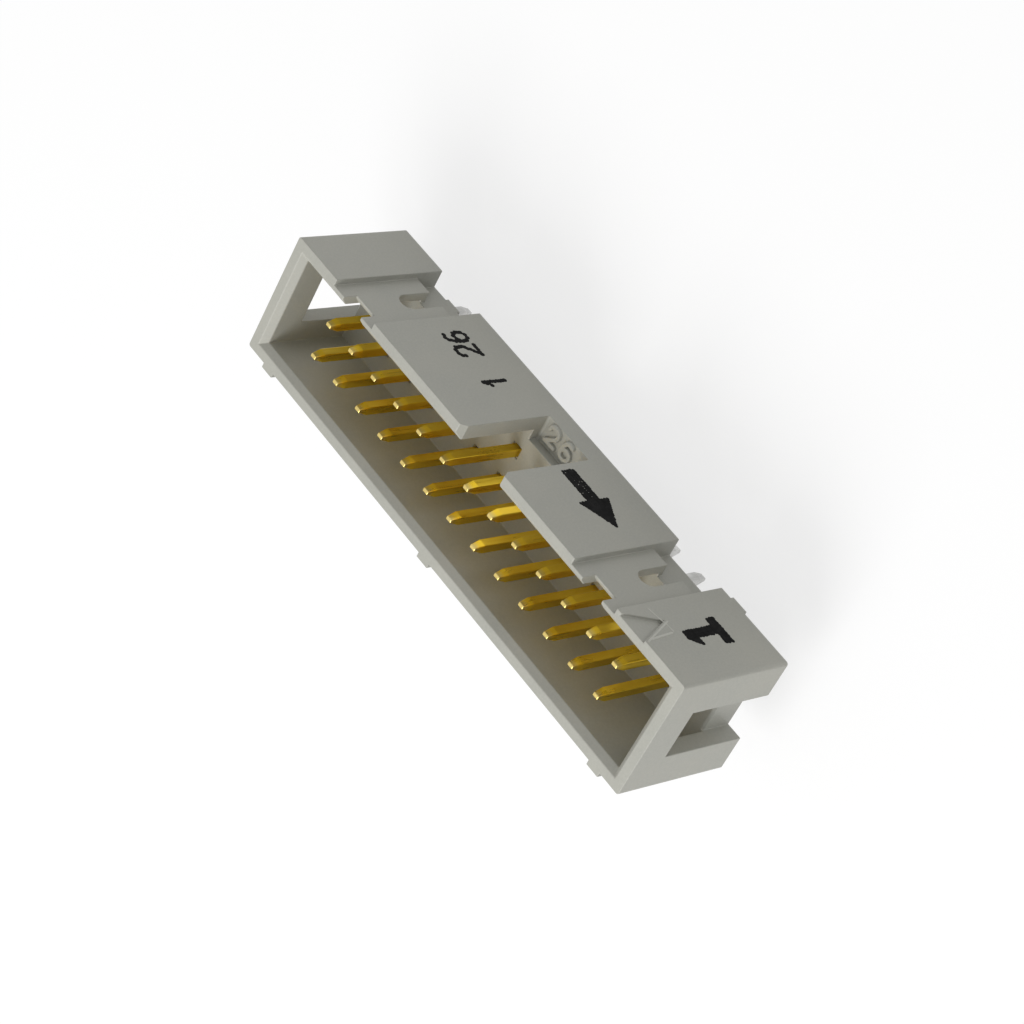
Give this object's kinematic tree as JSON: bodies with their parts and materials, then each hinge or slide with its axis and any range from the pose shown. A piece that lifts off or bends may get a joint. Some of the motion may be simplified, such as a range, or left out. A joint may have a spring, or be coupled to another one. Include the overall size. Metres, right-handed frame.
{
  "type": "box header",
  "caption": "Shrouded box header for flat cable: two rows of square gold-plated pins with straight solder tails in a grey moulded housing with a keyed side wall.",
  "frame": {"origin": "middle of the pin grid on the board face, which is the plane the stand-off feet stand on", "axes": "+Z out of the mouth, towards the plug; X along the pin rows; the keyed wall faces -Y, and pin 1 stands at the -X end beside it"},
  "size_m": [0.0404, 0.0092, 0.0125],
  "materials": {
    "housing": "pale grey glass-filled polyester, fine matt mould texture",
    "contact": "gold plating on the mating end, tin on the solder tail"
  },
  "bodies": {
    "root": {"housing": "housing", "pin_01": "contact", "pin_02": "contact", "pin_03": "contact", "pin_04": "contact", "pin_05": "contact", "pin_06": "contact", "pin_07": "contact", "pin_08": "contact", "pin_09": "contact", "pin_10": "contact", "pin_11": "contact", "pin_12": "contact", "pin_13": "contact", "pin_14": "contact", "pin_15": "contact", "pin_16": "contact", "pin_17": "contact", "pin_18": "contact", "pin_19": "contact", "pin_20": "contact", "pin_21": "contact", "pin_22": "contact", "pin_23": "contact", "pin_24": "contact", "pin_25": "contact", "pin_26": "contact"}
  },
  "joints": []
}
